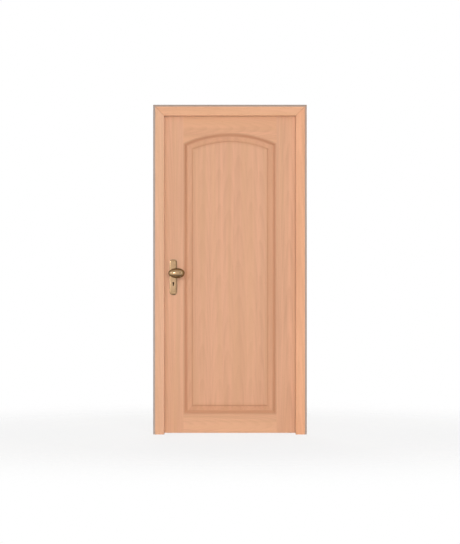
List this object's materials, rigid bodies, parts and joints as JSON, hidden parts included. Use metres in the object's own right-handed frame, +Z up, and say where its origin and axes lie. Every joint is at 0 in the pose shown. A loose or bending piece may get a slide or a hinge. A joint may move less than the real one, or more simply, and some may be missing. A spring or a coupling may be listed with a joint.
{
  "type": "panelled exterior door",
  "caption": "Rebated timber entrance door with an arched raised panel, hung on pinned hinges in a mitred block frame, with a long brass backplate and an offset oval knob.",
  "frame": {"origin": "on the outer (wall) face of the hinge jamb, at its foot and half way through the frame's depth", "axes": "+Z up, +X out of the hinge jamb into the wall, +Y from the outside of the door to the inside, the way the leaf opens"},
  "size_m": [0.949, 0.195, 2.0365],
  "materials": {
    "leaf_timber": "satin clear varnish on beech",
    "frame_timber": "satin clear varnish on beech",
    "brass": "polished",
    "steel": "brushed",
    "seal_rubber": "matt brown"
  },
  "bodies": {
    "frame": {"hinge_jamb": "frame_timber", "lock_jamb": "frame_timber", "frame_head": "frame_timber", "hinge_side_seal": "seal_rubber", "lock_side_seal": "seal_rubber", "head_seal": "seal_rubber", "strike_plate": "steel", "bottom_hinge_frame_half": "brass", "middle_hinge_frame_half": "brass", "top_hinge_frame_half": "brass"},
    "leaf": {"hinge_stile": "leaf_timber", "lock_stile": "leaf_timber", "top_rail": "leaf_timber", "bottom_rail": "leaf_timber", "raised_panel": "leaf_timber", "outer_left_moulding": "leaf_timber", "outer_right_moulding": "leaf_timber", "outer_bottom_moulding": "leaf_timber", "outer_arched_moulding": "leaf_timber", "inner_left_moulding": "leaf_timber", "inner_right_moulding": "leaf_timber", "inner_bottom_moulding": "leaf_timber", "inner_arched_moulding": "leaf_timber", "lock_case": "steel", "lock_forend": "steel", "latch_bolt": "steel", "dead_bolt": "steel", "outer_backplate": "brass", "inner_backplate": "brass", "door_knob": "brass", "lever_handle": "brass", "bottom_hinge_leaf_half": "brass", "middle_hinge_leaf_half": "brass", "top_hinge_leaf_half": "brass"}
  },
  "joints": [
    {"name": "leaf_swing", "type": "hinge", "parent": "frame", "child": "leaf", "pos_m": [-0.034, 0.04125, 1], "axis": [0, 0, -1], "range_deg": [0, 170]}
  ]
}
